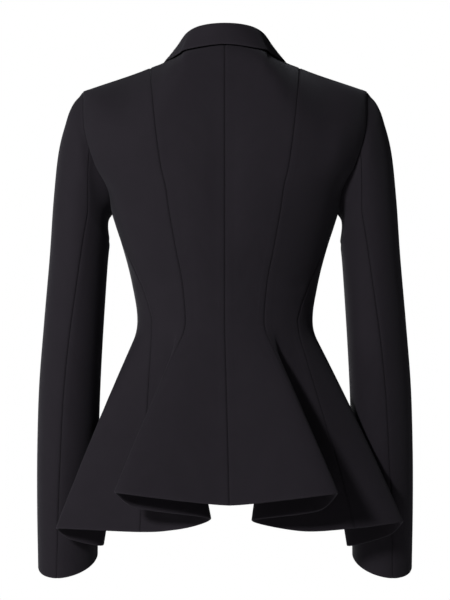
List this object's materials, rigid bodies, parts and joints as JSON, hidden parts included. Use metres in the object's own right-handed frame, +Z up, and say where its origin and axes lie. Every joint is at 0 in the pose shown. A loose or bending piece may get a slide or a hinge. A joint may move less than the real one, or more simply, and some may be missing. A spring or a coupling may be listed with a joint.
{
  "type": "peplum jacket",
  "caption": "Fitted tailored jacket with folded collar, princess seams, long seamed sleeves and a deeply fluted peplum hem, hollow and filled out as worn.",
  "frame": {"origin": "middle of the neck base, level with the neck ends of the shoulder seams, where the wearer carries the jacket", "axes": "+Z up along the wearer's spine, +Y to the wearer's front, +X to the wearer's right"},
  "size_m": [0.5258, 0.3143, 0.7593],
  "materials": {
    "cloth": "matte wool suiting",
    "button": "satin horn"
  },
  "bodies": {
    "root": {"collar": "cloth", "back_left": "cloth", "side_back_left": "cloth", "side_front_left": "cloth", "front_left": "cloth", "top_sleeve_left": "cloth", "under_sleeve_left": "cloth", "lapel_left": "cloth", "back_right": "cloth", "side_back_right": "cloth", "side_front_right": "cloth", "front_right": "cloth", "top_sleeve_right": "cloth", "under_sleeve_right": "cloth", "lapel_right": "cloth", "button_1": "button", "button_2": "button", "button_3": "button"}
  },
  "joints": []
}
